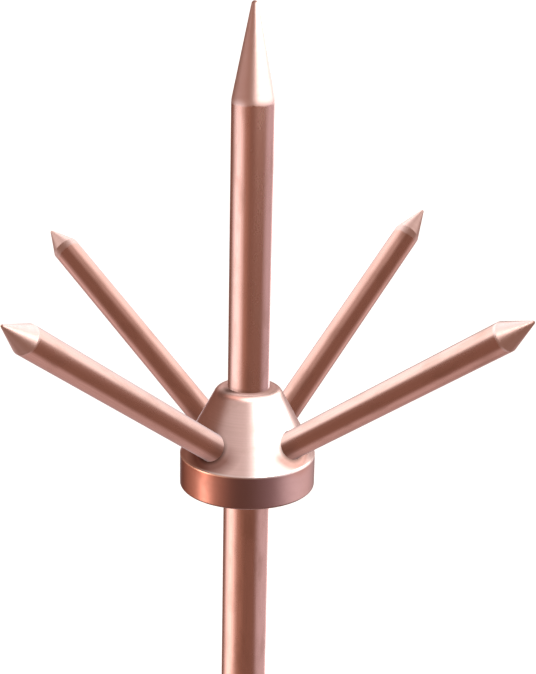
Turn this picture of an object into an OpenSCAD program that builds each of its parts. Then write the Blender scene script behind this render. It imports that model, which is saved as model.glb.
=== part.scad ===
// Five-point copper lightning rod: a turned hub on a round stem, with one thick centre point
// and four thinner side points that rise outwards from its cone.
// Millimetres. The origin is the centre of the hub's underside, and +Z runs up the centre point.
// The front of the object faces -Y.

/* [Hub] */
// Diameter of the hub's straight band
hub_d = 46; // [40:0.5:60]
// Height of the straight band
band_h = 11.5; // [9:0.5:18]
// Height of the cone above the band
cone_h = 23.5; // [19:0.5:36]
// Diameter of the flat face on top of the cone
hub_top_d = 21; // [20:0.5:30]
// Radius of the broken edges of the hub's band
hub_edge_r = 0.8; // [0.2:0.1:1.5]
// Radius of the rounded edge between the cone and the face on top of it
hub_top_r = 3.5; // [0.5:0.1:4.5]

/* [Stem] */
// Diameter of the stem
stem_d = 16; // [12:0.5:20]
// Length of the stem below the hub
stem_len = 78; // [40:1:400]
// Depth to which the stem is screwed into the hub
stem_depth = 13; // [8:0.5:16]
// Chamfer on the stem's lower end
stem_chamfer = 1; // [0.3:0.1:2]

/* [Centre point] */
// Diameter of the centre point
centre_d = 14; // [10:0.5:18]
// Length of the centre point's straight shank above the hub
centre_shank = 95.5; // [50:0.5:200]
// Length of the centre point's taper
centre_taper = 30.5; // [20:0.5:60]
// Radius of the centre point's blunt end
centre_tip_r = 1.1; // [0.3:0.1:2.5]
// Radius of the blend where the centre point's taper begins
centre_blend_r = 12; // [1:0.5:20]
// Depth to which the centre point is screwed into the hub
centre_depth = 11; // [7:0.5:12]

/* [Side points] */
// Diameter of the side points
side_d = 9.5; // [7:0.1:11]
// Rise of the side points above the horizontal, in degrees
side_tilt = 35.4; // [25:0.1:45]
// Height above the band at which the side points enter the cone
side_entry_h = 7.4; // [6:0.1:10]
// Metal left between a side socket's floor and the stem's hole
socket_wall = 2; // [1:0.1:4]
// Radius of the side points' blunt ends
side_tip_r = 0.6; // [0.2:0.1:1.5]
// Radius of the blend where a side point's taper begins
side_blend_r = 0.8; // [0.5:0.1:5]
// Length of the front right point from the hub to its taper
front_right_shank = 92.7; // [60:0.1:160]
// Length of the front right point's taper
front_right_taper = 10.5; // [7:0.5:20]
// Length of the rear right point from the hub to its taper
rear_right_shank = 91.2; // [60:0.1:160]
// Length of the rear right point's taper
rear_right_taper = 13; // [7:0.5:20]
// Length of the rear left point from the hub to its taper
rear_left_shank = 84.7; // [60:0.1:160]
// Length of the rear left point's taper
rear_left_taper = 9; // [7:0.5:20]
// Length of the front left point from the hub to its taper
front_left_shank = 95.2; // [60:0.1:160]
// Length of the front left point's taper
front_left_taper = 10; // [7:0.5:20]

/* [Fits] */
// Depth by which a threaded end is cut below its rod's surface
thread_cut = 0.65; // [0.4:0.05:1]
// Gap all round between a threaded end and its hole
thread_gap = 0.05; // [0.02:0.01:0.15]
// Gap between a threaded end's tip and the floor of its hole
floor_gap = 0.5; // [0.2:0.1:1.5]
// Chamfer on the tips of the threaded ends
thread_chamfer = 0.5; // [0.2:0.1:1]
// Gap all round between a side point and the flat-floored seat sunk into the cone for it
seat_gap = 0.15; // [0.1:0.05:0.5]
// Depth of that seat below the cone, measured along the side point
seat_depth = 2; // [1.5:0.1:3]

/* [Hidden] */

$fn = 96;
copper = "#b4745f";
turned_copper = "#c58a76";

// Straight steps on each rounded corner of a turned outline
arc_steps = 8;
// Length by which a cutter runs past the face that it cuts
overrun = 1;

hub_h = band_h + cone_h;
stem_hole_r = stem_d / 2 - thread_cut + thread_gap;
stem_hole_h = stem_depth + floor_gap;
centre_hole_h = centre_depth + floor_gap;

// Where a side point's axis passes through the cone, and where that axis meets the hub's own axis
entry_r = hub_d / 2 - side_entry_h * (hub_d - hub_top_d) / (2 * cone_h);
entry_z = band_h + side_entry_h;
cross_z = entry_z - entry_r * tan(side_tilt);

// Distances along a side point's axis, from the crossing on the hub's axis.
// A socket's floor clears the upper rim of the stem's hole.
entry_s = entry_r / cos(side_tilt);
stem_hole_s = stem_hole_r * cos(side_tilt) + (stem_hole_h - cross_z) * sin(side_tilt);
floor_s = stem_hole_s + socket_wall;
seat_s = entry_s - seat_depth;

// Compass headings of the side points about +Z, measured from +X
front_right_heading = -45;
rear_right_heading = 45;
rear_left_heading = 135;
front_left_heading = 225;
side_headings = [front_right_heading, rear_right_heading, rear_left_heading, front_left_heading];

function unit(v) = v / norm(v);

// One corner [r, z, radius] of an outline, as the points of the arc that rounds it.
// A corner with no radius stays sharp.
function rounded_corner(before, corner, after) =
    let(
        here = [corner.x, corner.y],
        back = unit([before.x, before.y] - here),
        ahead = unit([after.x, after.y] - here),
        half = acos(back * ahead) / 2,
        sweep = 180 - 2 * half,
        centre = here + unit(back + ahead) * corner.z / sin(half),
        first = here + back * corner.z / tan(half) - centre,
        last = here + ahead * corner.z / tan(half) - centre
    )
    corner.z == 0
        ? [here]
        : [
            for (i = [0 : arc_steps])
                let(done = sweep * i / arc_steps)
                centre + (first * sin(sweep - done) + last * sin(done)) / sin(sweep)
        ];

// Outline of a turned piece, given as corners [r, z, rounding radius] in order
function turned_outline(corners) =
    let(n = len(corners))
    [
        for (i = [0 : n - 1])
            each rounded_corner(corners[(i + n - 1) % n], corners[i], corners[(i + 1) % n])
    ];

// A turned solid about +Z
module turned(corners) {
    rotate_extrude()
        polygon(turned_outline(corners));
}

// Slope of a taper from its axis, where it runs from shank_r into a round nose
function taper_slope(shank_r, taper, nose_r) =
    let(run = taper - nose_r)
    atan(shank_r / run) - asin(nose_r / norm([shank_r, run]));

// Corners along the round nose, from where the taper touches it to the tip
function nose_corners(tip_z, nose_r, slope) =
    [
        for (i = [0 : arc_steps])
            let(a = slope + (90 - slope) * i / arc_steps)
            [nose_r * cos(a), tip_z - nose_r + nose_r * sin(a), 0]
    ];

// A round rod that sits on seat_z, with a threaded end down to foot_z and a taper that begins at shoulder_z
module pointed_rod(rod_d, foot_z, seat_z, shoulder_z, taper, blend_r, nose_r) {
    rod_r = rod_d / 2;
    thread_r = rod_r - thread_cut;
    turned(concat(
        [
            [0, foot_z, 0],
            [thread_r - thread_chamfer, foot_z, 0],
            [thread_r, foot_z + thread_chamfer, 0],
            [thread_r, seat_z, 0],
            [rod_r, seat_z, 0],
            [rod_r, shoulder_z, blend_r]
        ],
        nose_corners(shoulder_z + taper, nose_r, taper_slope(rod_r, taper, nose_r))
    ));
}

// Puts what is drawn along +Z onto a side point's axis
module on_side_axis(heading) {
    translate([0, 0, cross_z])
        rotate([0, 90 - side_tilt, heading])
            children();
}

// Tapped hole for a rod's threaded end
module thread_hole(rod_d, depth) {
    cylinder(r = rod_d / 2 - thread_cut + thread_gap, h = depth);
}

module side_socket() {
    translate([0, 0, floor_s])
        thread_hole(side_d, entry_s - floor_s);
    translate([0, 0, seat_s])
        cylinder(r = side_d / 2 + seat_gap, h = seat_depth + side_d);
}

module hub() {
    color(turned_copper)
        difference() {
            turned([
                [0, 0, 0],
                [hub_d / 2, 0, hub_edge_r],
                [hub_d / 2, band_h, hub_edge_r],
                [hub_top_d / 2, hub_h, hub_top_r],
                [0, hub_h, 0]
            ]);
            translate([0, 0, -overrun])
                thread_hole(stem_d, stem_hole_h + overrun);
            translate([0, 0, hub_h - centre_hole_h])
                thread_hole(centre_d, centre_hole_h + overrun);
            for (heading = side_headings)
                on_side_axis(heading)
                    side_socket();
        }
}

module stem() {
    stem_r = stem_d / 2;
    thread_r = stem_r - thread_cut;
    color(copper)
        turned([
            [0, -stem_len, 0],
            [stem_r - stem_chamfer, -stem_len, 0],
            [stem_r, stem_chamfer - stem_len, 0],
            [stem_r, 0, 0],
            [thread_r, 0, 0],
            [thread_r, stem_depth - thread_chamfer, 0],
            [thread_r - thread_chamfer, stem_depth, 0],
            [0, stem_depth, 0]
        ]);
}

module centre_point() {
    color(copper)
        pointed_rod(
            centre_d, hub_h - centre_depth, hub_h, hub_h + centre_shank,
            centre_taper, centre_blend_r, centre_tip_r
        );
}

module side_point(heading, shank, taper) {
    color(copper)
        on_side_axis(heading)
            pointed_rod(
                side_d, floor_s + floor_gap, seat_s, entry_s + shank,
                taper, side_blend_r, side_tip_r
            );
}

module front_right_point() {
    side_point(front_right_heading, front_right_shank, front_right_taper);
}

module rear_right_point() {
    side_point(rear_right_heading, rear_right_shank, rear_right_taper);
}

module rear_left_point() {
    side_point(rear_left_heading, rear_left_shank, rear_left_taper);
}

module front_left_point() {
    side_point(front_left_heading, front_left_shank, front_left_taper);
}

hub();
stem();
centre_point();
front_right_point();
rear_right_point();
rear_left_point();
front_left_point();
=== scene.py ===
"""Looks of the copper lightning rod: its copper finishes, the studio round it and the camera."""
import math

import bpy
from mathutils import Matrix, Vector


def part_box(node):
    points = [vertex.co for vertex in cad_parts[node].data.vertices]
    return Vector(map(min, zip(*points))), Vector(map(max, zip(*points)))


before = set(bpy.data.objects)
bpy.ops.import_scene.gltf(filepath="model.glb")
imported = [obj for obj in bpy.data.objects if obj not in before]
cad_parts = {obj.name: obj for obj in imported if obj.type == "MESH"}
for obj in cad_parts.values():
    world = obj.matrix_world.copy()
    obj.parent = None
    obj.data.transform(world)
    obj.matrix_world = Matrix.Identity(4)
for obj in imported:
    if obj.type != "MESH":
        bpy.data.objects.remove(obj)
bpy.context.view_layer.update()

# A millimetre in metres
MM = 0.001
# Keeps the part of a place that lies across its Z axis
ACROSS_AXIS = (1, 1, 0)
# A bump's distance, at which it takes its height in metres
RELIEF_UNIT = 1
# The middle of a light's panel, whose own place runs from 0 to 1 each way
PANEL_MIDDLE = 0.5
# The sRGB scale's white, and its curve: the end and slope of its straight part, and the offset and power of
# the rest
SRGB_WHITE = 255
SRGB_KNEE = 0.04045
SRGB_SLOPE = 12.92
SRGB_OFFSET = 0.055
SRGB_POWER = 2.4

# Sizes of the solids that the finishes follow, as in the part's source: millimetres and degrees
HUB_TOP_Z = 35
HUB_BAND_TOP_Z = 11.5
CENTRE_SHOULDER_Z = 130.5
STEM_LENGTH = 78
STEM_CHAMFER = 1
SIDE_ROD_D = 9.5
SIDE_TILT = 35.4
# Where the side points' axes meet the hub's axis, and how far from there each axis leaves the cone
SIDE_CROSSING_Z = 5.35
SIDE_ENTRY = 23.4
# Each side point's compass heading from +X, its length from the cone to the shoulder of its ground point,
# and how far the grinding wheel ran past that shoulder onto the bar
SIDE_POINTS = {
    "front_right_point": (-45, 92.7, 0.6),
    "rear_right_point": (45, 91.2, 2.5),
    "rear_left_point": (135, 84.7, 2.5),
    "front_left_point": (225, 95.2, 0.6),
}
CENTRE_RUNOUT = 1
STEM_RUNOUT = 0.5

# Camera, in the part's frame: place in millimetres, heading to the right of +Y, angles in degrees
CAMERA_PLACE = (-42.2, -421.1, 185.0)
CAMERA_HEADING = 6.56
CAMERA_PITCH = 17.39
CAMERA_ROLL = 1.21
# Focal length and picture height in pixels of the 536 x 674 picture, and the sensor's long side in
# millimetres
FOCAL_PX = 1335.5
PICTURE_HEIGHT_PX = 674
SENSOR = 36

# Copper as drawn, browned by handling, ground to a point, turned, browned on the hub and on its band, and
# rubbed bright along the band's edges
DRAWN_BRIGHT = "#e3a28d"
DRAWN_BROWNED = "#bd826c"
GROUND_BRIGHT = "#e9b6a4"
TURNED_BRIGHT = "#e0a593"
TURNED_BROWNED = "#bf8874"
BAND_BROWNED = "#8f5e54"
EDGE_BRIGHT = "#f1c3b0"
# What drawn and turned copper keep of their colour where they are seen along the surface
DRAWN_GRAZING = "#ecdfdb"
TURNED_GRAZING = "#dec7c2"
# Dirt and painted shade at a joint, and painted shade on the hub below its sockets and round its centre point
JOINT_DIRT_AND_SHADE = "#45291f"
HUB_PAINTED_SHADE = "#8a5040"
# Background paper and its fibres
FLOOR_WHITE = "#f6f5f3"
FLOOR_FIBRE = "#efeeec"

# Noise for fine lines and for patches. Its cell sizes come from the mapping before it.
FINE_NOISE = {"Scale": 1, "Detail": 3, "Roughness": 0.65}
PATCHY_NOISE = {"Scale": 1, "Detail": 5, "Roughness": 0.6}

# Drawn bar: cell sizes across and along it, in millimetres.
# Die lines are a few hundredths of a millimetre wide. They are drawn about ten times as coarse, so that they
# show. Grinding marks are about a tenth of a millimetre wide, and are drawn four times as coarse.
DIE_LINE_CELL = (0.45, 55)
BAR_PATCH_CELL = (6, 19)
GRINDING_MARK_CELL = (7, 0.4)
# Noise at which browning and streaks begin and are full, and how strong they are then
BAR_BROWNING = {"From Min": 0.45, "From Max": 0.76, "To Max": 0.85}
BAR_STREAKING = {"From Min": 0.35, "From Max": 0.7, "To Max": 0.3}
# Roughness of the bar from bright to browned, of the ground point over its marks, and under the painted shade
# at a joint
BAR_ROUGHNESS = {"To Min": 0.24, "To Max": 0.36}
POINT_ROUGHNESS = {"From Min": 0.3, "From Max": 0.7, "To Min": 0.38, "To Max": 0.48}
PAINTED_SHADE_ROUGHNESS = 0.5
# Depths in millimetres
DIE_LINE_DEPTH = 0.006
GRINDING_MARK_DEPTH = 0.008
# The wheel's runout varies by this much round the bar, and its edge is this soft
RUNOUT_SPREAD = 2.4
RUNOUT_EDGE = 0.3
# Painted shade where a bar leaves the hub: full and gone at these distances along the bar, and its strength
# over the patches that blotch it. It lies below a line this far above the bar's axis, with a soft edge, so
# the bar's lower side is darker. Upright bars have it all round.
SIDE_PAINTED_SHADE = {
    "full": 0.5, "gone": 9, "line": 2,
    "patches": {"From Min": 0.3, "From Max": 0.6, "To Min": 0.15, "To Max": 0.45},
}
FOOT_PAINTED_SHADE = {
    "full": 0.3, "gone": 1.5, "line": 50,
    "patches": {"From Min": 0.35, "From Max": 0.65, "To Min": 0.05, "To Max": 0.35},
}
PAINTED_SHADE_EDGE = 1.5

# Turned hub: cell sizes in millimetres. Tool rings have a pitch of about a tenth of a millimetre. They are
# drawn four times as coarse, so that they show.
TOOL_RING_CELL = (0.45, 0.45)
HUB_PATCH_CELL = (9, 6)
# Noise at which browning and rings begin and are full, and how strong they are then
HUB_BROWNING = {"From Min": 0.46, "From Max": 0.8, "To Max": 0.8}
HUB_RINGING = {"From Min": 0.35, "From Max": 0.7, "To Max": 0.3}
# Roughness from bright to browned, and the rings' depth in millimetres
HUB_ROUGHNESS = {"To Min": 0.32, "To Max": 0.44}
TOOL_RING_DEPTH = 0.008
# The band is browned all over, with a soft upper limit between these distances from its top edge, and this
# strong
BAND_BROWN_BEGINS = 0.1
BAND_BROWN_FULL = -0.4
BAND_BROWN_STRENGTH = 0.9
# Painted shade on the cone below each socket: full and gone at these distances from the rod, its strength,
# its soft edge and what is left of it above
SOCKET_SHADE_FULL = 2.6
SOCKET_SHADE_GONE = 6.5
SOCKET_SHADE_STRENGTH = 0.85
SOCKET_SHADE_EDGE = 3
SOCKET_SHADE_ABOVE = 0.1
# Dirt in the joint round each socket, with painted shade that makes it heavier below the rod: full and gone
# at these distances from the rod, its strength, and the height above the rod's axis at which only this share
# of it is left
SOCKET_DIRT_SHADE_FULL = 0.3
SOCKET_DIRT_SHADE_GONE = 1.5
SOCKET_DIRT_SHADE_STRENGTH = 0.7
SOCKET_DIRT_SHADE_EDGE = 4
SOCKET_DIRT_SHADE_ABOVE = 0.2
# A painted shade spot at the foot of the centre point: its place, where it is full and gone, and its strength
SHADE_SPOT_PLACE = (-6.9, -4.2, 35)
SHADE_SPOT_FULL = 0.9
SHADE_SPOT_GONE = 4.5
SHADE_SPOT_STRENGTH = 0.85
# Painted shade round the foot of the centre point on the top face: full and gone at these radii, its
# strength, and the heights at which it begins and is whole
TOP_SHADE_FULL = 7.3
TOP_SHADE_GONE = 9
TOP_SHADE_STRENGTH = 0.35
TOP_SHADE_BEGINS = 34.2
TOP_SHADE_WHOLE = 34.8
# The band's edges, rubbed bright: half widths of the full and of the faded ring
RUBBED_FULL = 0.2
RUBBED_GONE = 0.7

# Background paper: fibre size and depth in millimetres, roughness, glow, and the round sheet's radius in
# millimetres and number of sides
FIBRE_CELL = (1.5, 1.5)
FIBRE_NOISE = {"Scale": 1, "Detail": 4, "Roughness": 0.7}
FIBRE_DEPTH = 0.02
PAPER_ROUGHNESS = 0.9
FLOOR_GLOW = 0.65
FLOOR_RADIUS = 7000
FLOOR_SIDES = 128

# Softboxes round the object, all this far from the origin in millimetres
SOFTBOX_DISTANCE = 1200
SIDES = tuple(SIDE_POINTS)
# Azimuth runs from the front (-Y) towards +X, and elevation from the horizon, in degrees.
# Each row: azimuth, half width, elevation, half height, soft shares of the width and of the height, radiance,
# colour, pieces lit.
SOFTBOXES = {
    "point_key": (67, 64, 30, 24, 0.55, 0.35, 4.4, "#d6efff", ("centre_point",)),
    "point_fill": (-70, 58, 20, 18, 0.5, 0.5, 0.13, "#ffb090", ("centre_point",)),
    "point_strip": (-86, 46, -16, 22, 0.95, 0.4, 2.75, "#c4e6ff", ("centre_point",)),
    "point_tail": (-55, 45, -14, 22, 0.9, 0.4, 0.25, "#ffe6da", ("centre_point",)),
    "point_side": (112, 55, -12, 24, 0.8, 0.5, 0.92, "#b7d7ff", ("centre_point",)),
    "stem_strip": (-93, 40, -30, 22, 0.95, 0.4, 2.6, "#d3edff", ("stem",)),
    "stem_tail": (-60, 45, -30, 22, 0.9, 0.4, 0.25, "#ffe6da", ("stem",)),
    "stem_side": (107, 70, -30, 22, 0.9, 0.4, 1.04, "#bcdcff", ("stem",)),
    "cone_key": (72, 69, 34, 28, 0.6, 0.6, 7.0, "#b6e8ff", ("hub",)),
    "cone_fill": (-45, 38, 28, 28, 0.6, 0.6, 1.14, "#b8e0f6", ("hub",)),
    "cone_side": (98, 26, 10, 22, 0.3, 0.6, 3.0, "#c4eaff", ("hub",)),
    "cone_above": (50, 45, 72, 32, 0.6, 0.6, 3.4, "#c4eaff", ("hub",)),
    "cone_rim": (-50, 50, 78, 24, 0.7, 0.6, 1.2, "#fff4f8", ("hub",)),
    "cone_top": (170, 40, 18, 12, 0.5, 0.5, 0.9, "#d0ecff", ("hub",)),
    "band_strip": (-82, 12, -24, 14, 0.9, 0.4, 7.0, "#fff6ec", ("hub",)),
    "band_warm": (-86, 60, -24, 14, 1, 0.4, 1.2, "#ffe0c8", ("hub",)),
    "band_glow": (97, 60, -22, 16, 1, 0.4, 3.6, "#c4e8ff", ("hub",)),
    "band_front": (50, 48, -22, 16, 0.9, 0.4, 0.6, "#c8d8ff", ("hub",)),
    "back_left": (-140, 50, 33, 52, 0.5, 0.8, 2.8, "#bfe8ff", ("front_right_point",)),
    "back_right": (140, 50, 33, 52, 0.5, 0.8, 2.8, "#bfe8ff", ("front_left_point",)),
    "far_left": (-140, 50, 33, 52, 0.5, 0.8, 2.25, "#c9eaff", ("rear_right_point",)),
    "far_right": (140, 50, 33, 52, 0.5, 0.8, 2.25, "#c9eaff", ("rear_left_point",)),
    "rear_left_tip": (-140, 45, 32, 30, 0.5, 0.5, 1.2, "#d6efff", ("rear_left_point",)),
    "rear_right_tip": (140, 45, 32, 30, 0.5, 0.5, 1.3, "#d6efff", ("rear_right_point",)),
    "overhead": (0, 30, 90, 26, 0.6, 0.6, 0.55, "#d6efff", SIDES),
    "front_high": (0, 60, 50, 24, 0.6, 0.6, 0.5, "#ffe6da", ("front_right_point", "front_left_point")),
    "rear_table": (180, 76, -40, 36, 0.5, 0.5, 0.6, "#d2e8ff", SIDES),
    "rear_right_side": (105, 30, -14, 22, 0.8, 0.6, 0.4, "#d2e8ff", ("rear_right_point",)),
    "rear_left_side": (-105, 30, -14, 22, 0.8, 0.6, 0.5, "#d2e8ff", ("rear_left_point",)),
    "right_tip": (-65, 30, 35, 20, 0.6, 0.6, 2.0, "#d6efff", ("front_right_point",)),
    "left_tip": (64, 31, 19, 24, 0.6, 0.5, 3.4, "#d6efff", ("front_left_point",)),
    "point_back": (158, 30, -14, 24, 0.8, 0.5, 3.6, "#d6efff", ("centre_point",)),
    "taper_back": (160, 34, 22, 26, 0.8, 0.6, 3.6, "#d6efff", ("centre_point",)),
    "stem_back": (158, 30, -26, 24, 0.8, 0.5, 3.6, "#d6efff", ("stem",)),
    "band_back": (184, 16, -22, 16, 0.8, 0.5, 2.6, "#d6efff", ("hub",)),
    "cone_back": (185, 26, 42, 18, 0.8, 0.6, 2.4, "#c4eaff", ("hub",)),
    "right_flank": (135, 18, 40, 24, 0.8, 0.6, 3.0, "#d6efff", ("front_right_point",)),
    "left_flank": (-135, 18, 40, 24, 0.8, 0.6, 3.0, "#d6efff", ("front_left_point",)),
    "front_left_flank": (-45, 18, 40, 24, 0.8, 0.6, 3.0, "#d6efff", ("front_right_point",)),
    "front_right_flank": (45, 18, 40, 24, 0.8, 0.6, 3.0, "#d6efff", ("front_left_point",)),
    "rear_right_crown": (-45, 40, 10, 14, 0.7, 0.6, 2.4, "#d6efff", ("rear_right_point",)),
    "rear_left_crown": (45, 40, 10, 14, 0.7, 0.6, 2.4, "#d6efff", ("rear_left_point",)),
}
# The dim warm room, and the table's glow straight below, full and gone at these angles from the nadir
ROOM_COLOUR = "#ffe2d6"
ROOM_RADIANCE = 0.28
TABLE_COLOUR = "#cfe6ff"
TABLE_RADIANCE = 0.65
TABLE_FULL = 10
TABLE_GONE = 34
# What the camera sees beyond the floor
SKY_WHITE = 1.2
# Broad lamp behind the object that lights the floor alone: elevation and width in degrees, and strength
FLOOR_LAMP_RISE = 55
FLOOR_LAMP_WIDTH = 28
FLOOR_LAMP_STRENGTH = 1.7


def linear(hex_colour):
    """Linear red, green and blue of an sRGB hex colour."""
    parts = [byte / SRGB_WHITE for byte in bytes.fromhex(hex_colour.removeprefix("#"))]
    return [
        c / SRGB_SLOPE if c <= SRGB_KNEE else ((c + SRGB_OFFSET) / (1 + SRGB_OFFSET)) ** SRGB_POWER
        for c in parts
    ]


def opaque(hex_colour):
    """The same with an alpha of 1, as a colour socket takes it."""
    return (*linear(hex_colour), 1)


def per_mm(cell):
    """Mapping scale that gives one pattern cell these sizes in millimetres, across and along an axis."""
    across, along = cell
    return (1 / (across * MM), 1 / (across * MM), 1 / (along * MM))


def add_node(tree, kind, settings=None, links=None):
    """Adds a node, sets its properties and input values, and links its inputs."""
    node = tree.nodes.new(kind)
    for key, value in (settings or {}).items():
        if isinstance(key, str) and key in node.bl_rna.properties:
            setattr(node, key, value)
        else:
            node.inputs[key].default_value = value
    for key, socket in (links or {}).items():
        tree.links.new(socket, node.inputs[key])
    return node


def within(tree, value, middle, core, reach):
    """1 where a value is nearer to the middle than core, falling softly to 0 at reach."""
    off = add_node(tree, "ShaderNodeMath", {"operation": "SUBTRACT", 1: middle}, {0: value})
    away = add_node(tree, "ShaderNodeMath", {"operation": "ABSOLUTE"}, {0: off.outputs[0]})
    mask = add_node(
        tree, "ShaderNodeMapRange",
        {"interpolation_type": "SMOOTHSTEP", "From Min": reach, "From Max": core},
        {"Value": away.outputs[0]},
    )
    return mask.outputs["Result"]


def pattern(tree, place, cell, noise):
    """Noise with cells of this size, at a place given in metres."""
    scaled = add_node(tree, "ShaderNodeMapping", {"Scale": per_mm(cell)}, {"Vector": place})
    return add_node(tree, "ShaderNodeTexNoise", noise, {"Vector": scaled.outputs[0]}).outputs["Fac"]


def off_axis(tree, place):
    """How far a place lies from its Z axis."""
    level = add_node(tree, "ShaderNodeVectorMath", {"operation": "MULTIPLY", 1: ACROSS_AXIS}, {0: place})
    return add_node(
        tree, "ShaderNodeVectorMath", {"operation": "LENGTH"}, {0: level.outputs[0]}
    ).outputs["Value"]


def rod_place(tree, to_rod, coords):
    """The place on a rod, with the rod's axis on Z, from the place in the frame."""
    turn = {"Location": to_rod.to_translation(), "Rotation": to_rod.to_euler()}
    return add_node(tree, "ShaderNodeMapping", turn, {"Vector": coords}).outputs[0]


def new_material(name):
    """A material with no nodes yet, and its node tree."""
    material = bpy.data.materials.new(name)
    material.use_nodes = True
    material.node_tree.nodes.clear()
    return material, material.node_tree


def ground_end(tree, height, patches, shoulder, runout):
    """1 on a bar's ground end, which begins unevenly at about the runout before the shoulder."""
    uneven = add_node(
        tree, "ShaderNodeMath", {"operation": "MULTIPLY_ADD", 1: RUNOUT_SPREAD * MM}, {0: patches, 2: height}
    ).outputs[0]
    begins = shoulder - runout + RUNOUT_SPREAD / 2
    return add_node(
        tree, "ShaderNodeMapRange",
        {"From Min": (begins - RUNOUT_EDGE) * MM, "From Max": (begins + RUNOUT_EDGE) * MM},
        {"Value": uneven},
    ).outputs["Result"]


def bar_painted_shade(tree, height, downward, patches, foot, joint_painted_shade):
    """Strength of the painted shade where a bar leaves the hub, heaviest on its lower side, blotched by
    patches.
    """
    joint = within(tree, height, foot * MM, joint_painted_shade["full"] * MM, joint_painted_shade["gone"] * MM)
    line = joint_painted_shade["line"]
    below = add_node(
        tree, "ShaderNodeMapRange",
        {"From Min": -(line + PAINTED_SHADE_EDGE) * MM, "From Max": -(line - PAINTED_SHADE_EDGE) * MM}, {"Value": downward},
    ).outputs["Result"]
    blotches = add_node(
        tree, "ShaderNodeMapRange", joint_painted_shade["patches"], {"Value": patches}
    ).outputs["Result"]
    low = add_node(tree, "ShaderNodeMath", {"operation": "MULTIPLY"}, {0: joint, 1: below}).outputs[0]
    return add_node(tree, "ShaderNodeMath", {"operation": "MULTIPLY"}, {0: low, 1: blotches}).outputs[0]


def drawn_copper(name, to_rod, foot, shoulder, runout, joint_painted_shade):
    """Copper bar drawn through a die, with its end ground.

    Drawing leaves fine lines along the bar and a soft, even shine that is stretched across it. Hands brown
    it in faint patches, and painted shade darkens it where it leaves the hub, most on its lower side. The
    grinding wheel leaves the end paler and duller, with marks round it.
    to_rod takes the frame to the rod's own place, with its axis on Z. foot and shoulder are heights along
    it: where the bar leaves the hub, and where its point or chamfer begins. runout is how far the wheel ran
    past the shoulder onto the bar. The last argument is the table of the painted shade at the joint, for a
    side point or for an upright bar.
    """
    material, tree = new_material(name)
    coords = add_node(tree, "ShaderNodeTexCoord").outputs["Object"]
    rod = rod_place(tree, to_rod, coords)
    split = add_node(tree, "ShaderNodeSeparateXYZ", links={0: rod})
    height = split.outputs["Z"]
    die_lines = pattern(tree, rod, DIE_LINE_CELL, FINE_NOISE)
    patches = pattern(tree, rod, BAR_PATCH_CELL, PATCHY_NOISE)
    marks = pattern(tree, rod, GRINDING_MARK_CELL, FINE_NOISE)
    ground = ground_end(tree, height, patches, shoulder, runout)
    # Painted shade where the bar leaves the hub, darkening its lower side
    painted_shade = bar_painted_shade(tree, height, split.outputs["X"], patches, foot, joint_painted_shade)
    browned = add_node(tree, "ShaderNodeMapRange", BAR_BROWNING, {"Value": patches}).outputs["Result"]
    streaked = add_node(tree, "ShaderNodeMapRange", BAR_STREAKING, {"Value": die_lines}).outputs["Result"]
    worn = add_node(tree, "ShaderNodeMath", {"operation": "MAXIMUM"}, {0: browned, 1: streaked}).outputs[0]

    bar_colour = add_node(
        tree, "ShaderNodeMix",
        {"data_type": "RGBA", "A": opaque(DRAWN_BRIGHT), "B": opaque(DRAWN_BROWNED)}, {"Factor": worn},
    ).outputs["Result"]
    # The painted shade at the joint darkens the bar's colour
    with_painted_shade = add_node(
        tree, "ShaderNodeMix", {"data_type": "RGBA", "B": opaque(JOINT_DIRT_AND_SHADE)},
        {"Factor": painted_shade, "A": bar_colour},
    ).outputs["Result"]
    colour = add_node(
        tree, "ShaderNodeMix", {"data_type": "RGBA", "B": opaque(GROUND_BRIGHT)},
        {"Factor": ground, "A": with_painted_shade},
    ).outputs["Result"]

    bar_roughness = add_node(tree, "ShaderNodeMapRange", BAR_ROUGHNESS, {"Value": worn}).outputs["Result"]
    point_roughness = add_node(
        tree, "ShaderNodeMapRange", POINT_ROUGHNESS, {"Value": marks}
    ).outputs["Result"]
    dulled = add_node(
        tree, "ShaderNodeMix", {"data_type": "FLOAT", "B": PAINTED_SHADE_ROUGHNESS},
        {"Factor": painted_shade, "A": bar_roughness},
    ).outputs["Result"]
    roughness = add_node(
        tree, "ShaderNodeMix", {"data_type": "FLOAT"}, {"Factor": ground, "A": dulled, "B": point_roughness}
    ).outputs["Result"]

    line_depth = add_node(
        tree, "ShaderNodeMath", {"operation": "MULTIPLY", 1: DIE_LINE_DEPTH * MM}, {0: die_lines}
    ).outputs[0]
    mark_depth = add_node(
        tree, "ShaderNodeMath", {"operation": "MULTIPLY", 1: GRINDING_MARK_DEPTH * MM}, {0: marks}
    ).outputs[0]
    depth = add_node(
        tree, "ShaderNodeMix", {"data_type": "FLOAT"}, {"Factor": ground, "A": line_depth, "B": mark_depth}
    ).outputs["Result"]
    relief = add_node(tree, "ShaderNodeBump", {"Distance": RELIEF_UNIT}, {"Height": depth})
    shader = add_node(
        tree, "ShaderNodeBsdfPrincipled", {"Metallic": 1, "Specular Tint": opaque(DRAWN_GRAZING)},
        {"Base Color": colour, "Roughness": roughness, "Normal": relief.outputs[0]},
    )
    add_node(tree, "ShaderNodeOutputMaterial", links={"Surface": shader.outputs[0]})
    return material


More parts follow.
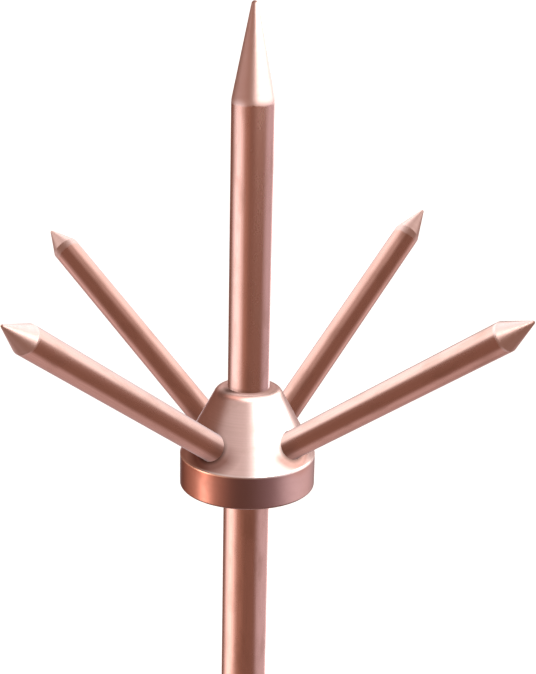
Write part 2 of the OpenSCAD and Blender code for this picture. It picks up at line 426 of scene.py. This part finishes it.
def top_painted_shades(tree, coords, radius, height):
    """Strengths of the painted shade round the foot of the centre point on the top face, and of the painted
    shade spot beside it.
    """
    near_centre = add_node(
        tree, "ShaderNodeMapRange",
        {"From Min": TOP_SHADE_GONE * MM, "From Max": TOP_SHADE_FULL * MM, "To Max": TOP_SHADE_STRENGTH},
        {"Value": radius},
    ).outputs["Result"]
    on_top = add_node(
        tree, "ShaderNodeMapRange", {"From Min": TOP_SHADE_BEGINS * MM, "From Max": TOP_SHADE_WHOLE * MM},
        {"Value": height},
    ).outputs["Result"]
    painted_shade = add_node(
        tree, "ShaderNodeMath", {"operation": "MULTIPLY"}, {0: near_centre, 1: on_top}
    ).outputs[0]
    from_shade_spot = add_node(
        tree, "ShaderNodeVectorMath", {"operation": "DISTANCE", 1: Vector(SHADE_SPOT_PLACE) * MM}, {0: coords}
    ).outputs["Value"]
    shade_spot = add_node(
        tree, "ShaderNodeMapRange",
        {"From Min": SHADE_SPOT_GONE * MM, "From Max": SHADE_SPOT_FULL * MM, "To Max": SHADE_SPOT_STRENGTH},
        {"Value": from_shade_spot},
    ).outputs["Result"]
    return painted_shade, shade_spot


def socket_shades_and_dirt(tree, coords, to_rod):
    """Strengths of the painted shade below a side point's socket, and of the dirt in its joint, which painted
    shade makes heavier below the rod.
    """
    rod = rod_place(tree, to_rod, coords)
    downward = add_node(tree, "ShaderNodeSeparateXYZ", links={0: rod}).outputs["X"]
    away = off_axis(tree, rod)
    ring = add_node(
        tree, "ShaderNodeMapRange",
        {
            "From Min": (SIDE_ROD_D / 2 + SOCKET_SHADE_GONE) * MM,
            "From Max": (SIDE_ROD_D / 2 + SOCKET_SHADE_FULL) * MM,
            "To Max": SOCKET_SHADE_STRENGTH,
        },
        {"Value": away},
    ).outputs["Result"]
    below = add_node(
        tree, "ShaderNodeMapRange",
        {
            "From Min": -SOCKET_SHADE_EDGE * MM,
            "From Max": SOCKET_SHADE_EDGE * MM,
            "To Min": SOCKET_SHADE_ABOVE,
        },
        {"Value": downward},
    ).outputs["Result"]
    painted_shade = add_node(tree, "ShaderNodeMath", {"operation": "MULTIPLY"}, {0: ring, 1: below}).outputs[0]
    joint = add_node(
        tree, "ShaderNodeMapRange",
        {
            "From Min": (SIDE_ROD_D / 2 + SOCKET_DIRT_SHADE_GONE) * MM,
            "From Max": (SIDE_ROD_D / 2 + SOCKET_DIRT_SHADE_FULL) * MM,
            "To Max": SOCKET_DIRT_SHADE_STRENGTH,
        },
        {"Value": away},
    ).outputs["Result"]
    # Painted shade: the joint's dirt is heavier below the rod, where its shade falls
    heavier_below = add_node(
        tree, "ShaderNodeMapRange",
        {"From Min": -SOCKET_DIRT_SHADE_EDGE * MM, "From Max": 0, "To Min": SOCKET_DIRT_SHADE_ABOVE},
        {"Value": downward},
    ).outputs["Result"]
    dirt_and_shade = add_node(tree, "ShaderNodeMath", {"operation": "MULTIPLY"}, {0: joint, 1: heavier_below}).outputs[0]
    return painted_shade, dirt_and_shade


def rubbed_edges(tree, height, patches):
    """Strength of the bright rub along the band's two edges."""
    low = within(tree, height, 0, RUBBED_FULL * MM, RUBBED_GONE * MM)
    high = within(tree, height, HUB_BAND_TOP_Z * MM, RUBBED_FULL * MM, RUBBED_GONE * MM)
    edges = add_node(tree, "ShaderNodeMath", {"operation": "MAXIMUM"}, {0: low, 1: high}).outputs[0]
    return add_node(tree, "ShaderNodeMath", {"operation": "MULTIPLY"}, {0: edges, 1: patches}).outputs[0]


def turned_copper(side_axes):
    """Copper turned on a lathe.

    The tool leaves fine rings round the axis, and a satin shine that spreads along the hub's height. The
    metal is browned in patches and all over the band, and the band's edges are rubbed bright. Painted shade
    darkens the cone below the sockets and round the foot of the centre point, with a painted shade spot
    beside that foot. Dirt lies in the joints, with painted shade that makes it heavier below each side point.
    side_axes are the matrices that take the frame to each side point's own place.
    """
    material, tree = new_material("turned_copper")
    coords = add_node(tree, "ShaderNodeTexCoord").outputs["Object"]
    height = add_node(tree, "ShaderNodeSeparateXYZ", links={0: coords}).outputs["Z"]
    radius = off_axis(tree, coords)
    ring_place = add_node(tree, "ShaderNodeCombineXYZ", links={"X": radius, "Z": height}).outputs[0]
    rings = pattern(tree, ring_place, TOOL_RING_CELL, FINE_NOISE)
    patches = pattern(tree, coords, HUB_PATCH_CELL, PATCHY_NOISE)
    browned = add_node(tree, "ShaderNodeMapRange", HUB_BROWNING, {"Value": patches}).outputs["Result"]
    ringed = add_node(tree, "ShaderNodeMapRange", HUB_RINGING, {"Value": rings}).outputs["Result"]
    worn = add_node(tree, "ShaderNodeMath", {"operation": "MAXIMUM"}, {0: browned, 1: ringed}).outputs[0]
    band = add_node(
        tree, "ShaderNodeMapRange",
        {
            "From Min": (HUB_BAND_TOP_Z + BAND_BROWN_BEGINS) * MM,
            "From Max": (HUB_BAND_TOP_Z + BAND_BROWN_FULL) * MM,
            "To Max": BAND_BROWN_STRENGTH,
        },
        {"Value": height},
    ).outputs["Result"]
    # Painted shade round the centre point's foot and below each socket, a painted shade spot, and dirt in the
    # joints with painted shade below the rods
    painted_shade, dirt_and_shade = top_painted_shades(tree, coords, radius, height)
    for to_rod in side_axes:
        run, socket_dirt_and_shade = socket_shades_and_dirt(tree, coords, to_rod)
        painted_shade = add_node(tree, "ShaderNodeMath", {"operation": "MAXIMUM"}, {0: painted_shade, 1: run}).outputs[0]
        dirt_and_shade = add_node(tree, "ShaderNodeMath", {"operation": "MAXIMUM"}, {0: dirt_and_shade, 1: socket_dirt_and_shade}).outputs[0]
    rubbed = rubbed_edges(tree, height, patches)

    colour = add_node(
        tree, "ShaderNodeMix",
        {"data_type": "RGBA", "A": opaque(TURNED_BRIGHT), "B": opaque(TURNED_BROWNED)}, {"Factor": worn},
    ).outputs["Result"]
    # In turn: the browned band, the painted shade, the dirt with painted shade below the rods, the rubbed
    # edges
    for strength, coat in (
        (band, BAND_BROWNED), (painted_shade, HUB_PAINTED_SHADE), (dirt_and_shade, JOINT_DIRT_AND_SHADE), (rubbed, EDGE_BRIGHT)
    ):
        colour = add_node(
            tree, "ShaderNodeMix", {"data_type": "RGBA", "B": opaque(coat)}, {"Factor": strength, "A": colour}
        ).outputs["Result"]
    roughness = add_node(tree, "ShaderNodeMapRange", HUB_ROUGHNESS, {"Value": worn}).outputs["Result"]
    depth = add_node(
        tree, "ShaderNodeMath", {"operation": "MULTIPLY", 1: TOOL_RING_DEPTH * MM}, {0: rings}
    ).outputs[0]
    relief = add_node(tree, "ShaderNodeBump", {"Distance": RELIEF_UNIT}, {"Height": depth})
    shader = add_node(
        tree, "ShaderNodeBsdfPrincipled", {"Metallic": 1, "Specular Tint": opaque(TURNED_GRAZING)},
        {"Base Color": colour, "Roughness": roughness, "Normal": relief.outputs[0]},
    )
    add_node(tree, "ShaderNodeOutputMaterial", links={"Surface": shader.outputs[0]})
    return material


def floor_paper():
    """Matt white background paper: fibres give it a faint tooth and tone."""
    material, tree = new_material("floor_paper")
    coords = add_node(tree, "ShaderNodeTexCoord").outputs["Object"]
    fibres = pattern(tree, coords, FIBRE_CELL, FIBRE_NOISE)
    tone = add_node(
        tree, "ShaderNodeMix",
        {"data_type": "RGBA", "A": opaque(FLOOR_WHITE), "B": opaque(FLOOR_FIBRE)}, {"Factor": fibres},
    ).outputs["Result"]
    depth = add_node(
        tree, "ShaderNodeMath", {"operation": "MULTIPLY", 1: FIBRE_DEPTH * MM}, {0: fibres}
    ).outputs[0]
    tooth = add_node(tree, "ShaderNodeBump", {"Distance": RELIEF_UNIT}, {"Height": depth})
    shader = add_node(
        tree, "ShaderNodeBsdfPrincipled", {"Roughness": PAPER_ROUGHNESS, "Emission Strength": FLOOR_GLOW},
        {"Base Color": tone, "Emission Color": tone, "Normal": tooth.outputs[0]},
    )
    add_node(tree, "ShaderNodeOutputMaterial", links={"Surface": shader.outputs[0]})
    return material


def side_axis(heading):
    """Takes the frame to a side point's own place, with its axis on Z and X on its lower side."""
    place = (
        Matrix.Translation((0, 0, SIDE_CROSSING_Z * MM))
        @ Matrix.Rotation(math.radians(heading), 4, "Z")
        @ Matrix.Rotation(math.pi / 2 - math.radians(SIDE_TILT), 4, "Y")
    )
    return place.inverted()


def dress():
    """Gives each solid its finish."""
    upright = Matrix.Identity(4)
    hanging = Matrix.Rotation(math.pi, 4, "X")
    finishes = {
        "stem": drawn_copper(
            "drawn_copper_stem", hanging, 0, STEM_LENGTH - STEM_CHAMFER, STEM_RUNOUT, FOOT_PAINTED_SHADE
        ),
        "centre_point": drawn_copper(
            "drawn_copper_centre", upright, HUB_TOP_Z, CENTRE_SHOULDER_Z, CENTRE_RUNOUT, FOOT_PAINTED_SHADE
        ),
        "hub": turned_copper([side_axis(heading) for heading, _, _ in SIDE_POINTS.values()]),
    }
    for name, (heading, shank, runout) in SIDE_POINTS.items():
        finishes[name] = drawn_copper(
            "drawn_copper_" + name.removesuffix("_point"),
            side_axis(heading), SIDE_ENTRY, SIDE_ENTRY + shank, runout, SIDE_PAINTED_SHADE,
        )
    for name, finish in finishes.items():
        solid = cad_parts[name]
        solid.data.materials.clear()
        solid.data.materials.append(finish)
        # The pieces don't mirror each other: their shine runs into the joints unbroken, as in the photograph.
        solid.visible_glossy = False


def floor():
    """A wide sheet of white paper under the stem. The copper doesn't mirror it: it has lights of its own."""
    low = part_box("stem")[0].z
    bpy.ops.mesh.primitive_circle_add(
        vertices=FLOOR_SIDES, radius=FLOOR_RADIUS * MM, fill_type="NGON", location=(0, 0, low)
    )
    sheet = bpy.context.object
    sheet.name = "floor"
    sheet.data.materials.append(floor_paper())
    sheet.visible_glossy = False
    sheet.visible_shadow = False
    return sheet


def light_only(light, objects):
    """Puts a light in the scene for these objects alone, out of the camera's sight."""
    light.visible_camera = False
    bpy.context.scene.collection.objects.link(light)
    lit = bpy.data.collections.new(light.name + "_lit")
    for obj in objects:
        lit.objects.link(obj)
    light.light_linking.receiver_collection = lit


def softbox(
    name, azimuth, half_width, elevation, half_height, soft_width, soft_height, radiance, colour, pieces
):
    """An area light with soft edges that faces the hub and lights these pieces alone."""
    turn = math.radians(azimuth)
    rise = math.radians(elevation)
    outward = Vector((math.sin(turn) * math.cos(rise), -math.cos(turn) * math.cos(rise), math.sin(rise)))
    sideways = Vector((math.cos(turn), math.sin(turn), 0))
    upward = outward.cross(sideways)
    distance = SOFTBOX_DISTANCE * MM
    data = bpy.data.lights.new(name, "AREA")
    data.shape = "RECTANGLE"
    data.size = 2 * distance * math.tan(math.radians(half_width))
    data.size_y = 2 * distance * math.tan(math.radians(half_height))
    data.energy = radiance * math.pi * data.size * data.size_y
    data.color = linear(colour)
    data.use_nodes = True
    tree = data.node_tree
    tree.nodes.clear()
    place = add_node(tree, "ShaderNodeNewGeometry").outputs["Parametric"]
    split = add_node(tree, "ShaderNodeSeparateXYZ", links={0: place})
    across = within(tree, split.outputs["X"], PANEL_MIDDLE, PANEL_MIDDLE * (1 - soft_width), PANEL_MIDDLE)
    along = within(tree, split.outputs["Y"], PANEL_MIDDLE, PANEL_MIDDLE * (1 - soft_height), PANEL_MIDDLE)
    strength = add_node(tree, "ShaderNodeMath", {"operation": "MULTIPLY"}, {0: across, 1: along})
    glow = add_node(tree, "ShaderNodeEmission", links={"Strength": strength.outputs[0]})
    add_node(tree, "ShaderNodeOutputLight", links={"Surface": glow.outputs[0]})
    light = bpy.data.objects.new(name, data)
    light.matrix_world = (
        Matrix.Translation(outward * distance) @ Matrix((sideways, upward, outward)).transposed().to_4x4()
    )
    light_only(light, [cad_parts[piece] for piece in pieces])


def floor_lamp(sheet):
    """A broad distant lamp behind the object, for a soft shadow on the floor towards the front."""
    data = bpy.data.lights.new("floor_lamp", "SUN")
    data.energy = FLOOR_LAMP_STRENGTH
    data.angle = math.radians(FLOOR_LAMP_WIDTH)
    light = bpy.data.objects.new("floor_lamp", data)
    light.rotation_euler = (math.radians(FLOOR_LAMP_RISE) - math.pi / 2, 0, 0)
    light_only(light, [sheet])


def room():
    """A dim warm room with the table's glow below. The camera itself sees white beyond the floor."""
    world = bpy.data.worlds.new("room")
    bpy.context.scene.world = world
    world.use_nodes = True
    tree = world.node_tree
    tree.nodes.clear()
    coords = add_node(tree, "ShaderNodeTexCoord").outputs["Generated"]
    height = add_node(tree, "ShaderNodeSeparateXYZ", links={0: coords}).outputs["Z"]
    rise = add_node(tree, "ShaderNodeMath", {"operation": "ARCSINE"}, {0: height}).outputs[0]
    below = within(tree, rise, -math.pi / 2, math.radians(TABLE_FULL), math.radians(TABLE_GONE))
    room_light = [c * ROOM_RADIANCE for c in linear(ROOM_COLOUR)]
    table_light = [c * TABLE_RADIANCE for c in linear(TABLE_COLOUR)]
    light = add_node(
        tree, "ShaderNodeVectorMath", {"operation": "MULTIPLY_ADD", 1: table_light, 2: room_light}, {0: below}
    ).outputs[0]
    seen = add_node(tree, "ShaderNodeLightPath").outputs["Is Camera Ray"]
    sky = add_node(
        tree, "ShaderNodeMix", {"data_type": "RGBA", "B": (SKY_WHITE, SKY_WHITE, SKY_WHITE, 1)},
        {"Factor": seen, "A": light},
    ).outputs["Result"]
    background = add_node(tree, "ShaderNodeBackground", links={"Color": sky})
    add_node(tree, "ShaderNodeOutputWorld", links={"Surface": background.outputs[0]})


def camera():
    """The photograph's view."""
    heading, pitch, roll = (math.radians(a) for a in (CAMERA_HEADING, CAMERA_PITCH, CAMERA_ROLL))
    run = math.cos(pitch)
    ahead = Vector((math.sin(heading) * run, math.cos(heading) * run, -math.sin(pitch)))
    level = Vector((math.cos(heading), -math.sin(heading), 0))
    upright = level.cross(ahead)
    right = level * math.cos(roll) + upright * math.sin(roll)
    up = upright * math.cos(roll) - level * math.sin(roll)
    data = bpy.data.cameras.new("camera")
    data.sensor_width = SENSOR
    data.lens = FOCAL_PX * SENSOR / PICTURE_HEIGHT_PX
    eye = bpy.data.objects.new("camera", data)
    eye.matrix_world = (
        Matrix.Translation(Vector(CAMERA_PLACE) * MM) @ Matrix((right, up, -ahead)).transposed().to_4x4()
    )
    bpy.context.scene.collection.objects.link(eye)
    bpy.context.scene.camera = eye


camera()
dress()
floor_lamp(floor())
room()
for name, row in SOFTBOXES.items():
    softbox(name, *row)
bpy.context.scene.view_settings.view_transform = "Standard"
